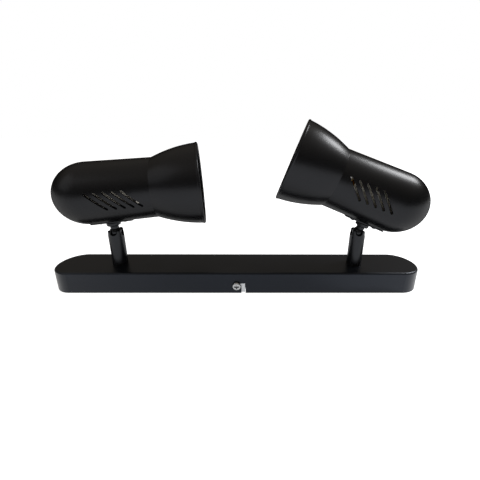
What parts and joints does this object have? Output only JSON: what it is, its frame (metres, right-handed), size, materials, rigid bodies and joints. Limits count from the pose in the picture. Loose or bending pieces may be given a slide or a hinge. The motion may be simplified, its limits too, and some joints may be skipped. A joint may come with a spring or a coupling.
{
  "type": "twin spotlight bar",
  "caption": "Bar base with bullet spotlight heads, each tilting on a ball stud in a stem that turns in the bar.",
  "frame": {"origin": "centre of the back of the bar, on the wall plane", "axes": "+X along the bar, +Z away from the wall, heads on the +Z side"},
  "size_m": [0.32, 0.0768, 0.1417],
  "materials": {
    "black_coat": "satin powder coat",
    "zinc_steel": "zinc plated",
    "nickel": "nickel plated",
    "spring_steel": "rolled, oiled",
    "porcelain": "unglazed",
    "brass": "turned",
    "white_nylon": "moulded",
    "brown_sleeve": "silicone sleeve",
    "green_sleeve": "silicone sleeve",
    "pale_nylon": "moulded"
  },
  "bodies": {
    "base": {"base_plate": "black_coat", "wall_bracket": "zinc_steel", "cover_screws": "nickel", "terminal_block": "white_nylon", "terminal_barrels": "brass", "terminal_screws": "nickel", "terminal_block_screw": "zinc_steel", "earth_tag": "brass", "earth_screw": "zinc_steel", "lamp_leads": "brown_sleeve", "earth_lead": "green_sleeve"},
    "left_post": {"left_stem": "black_coat", "left_stem_washer": "black_coat", "left_ball_seat": "pale_nylon", "left_disc_springs": "spring_steel", "left_stop_washer": "zinc_steel", "left_lock_washer": "spring_steel", "left_stem_nut": "zinc_steel", "left_stem_leads": "brown_sleeve"},
    "left_spot": {"left_ball_stud": "black_coat", "left_strap": "black_coat", "left_strap_rivets": "black_coat", "left_stud_nut": "zinc_steel", "left_head_shell": "black_coat", "left_holder_bracket": "zinc_steel", "left_lampholder": "porcelain", "left_screw_shell": "brass", "left_centre_contact": "brass", "left_holder_screws": "zinc_steel", "left_holder_terminals": "brass", "left_head_leads": "brown_sleeve"},
    "right_post": {"right_stem": "black_coat", "right_stem_washer": "black_coat", "right_ball_seat": "pale_nylon", "right_disc_springs": "spring_steel", "right_stop_washer": "zinc_steel", "right_lock_washer": "spring_steel", "right_stem_nut": "zinc_steel", "right_stem_leads": "brown_sleeve"},
    "right_spot": {"right_ball_stud": "black_coat", "right_strap": "black_coat", "right_strap_rivets": "black_coat", "right_stud_nut": "zinc_steel", "right_head_shell": "black_coat", "right_holder_bracket": "zinc_steel", "right_lampholder": "porcelain", "right_screw_shell": "brass", "right_centre_contact": "brass", "right_holder_screws": "zinc_steel", "right_holder_terminals": "brass", "right_head_leads": "brown_sleeve"}
  },
  "joints": [
    {"name": "left_swivel", "type": "hinge", "parent": "base", "child": "left_post", "pos_m": [-0.1048, 0, 0.0188], "axis": [0, 0, 1], "range_deg": [-169.8, 150.2]},
    {"name": "left_tilt", "type": "hinge", "parent": "left_post", "child": "left_spot", "pos_m": [-0.1048, 0, 0.0491], "axis": [0.1702, -0.9854, 0], "range_deg": [-23.6, 66.4]},
    {"name": "right_swivel", "type": "hinge", "parent": "base", "child": "right_post", "pos_m": [0.1048, 0, 0.0188], "axis": [0, 0, 1], "range_deg": [-149.1, 170.9]},
    {"name": "right_tilt", "type": "hinge", "parent": "right_post", "child": "right_spot", "pos_m": [0.1048, 0, 0.0491], "axis": [0.1891, 0.982, 0], "range_deg": [-40.7, 49.3]}
  ]
}
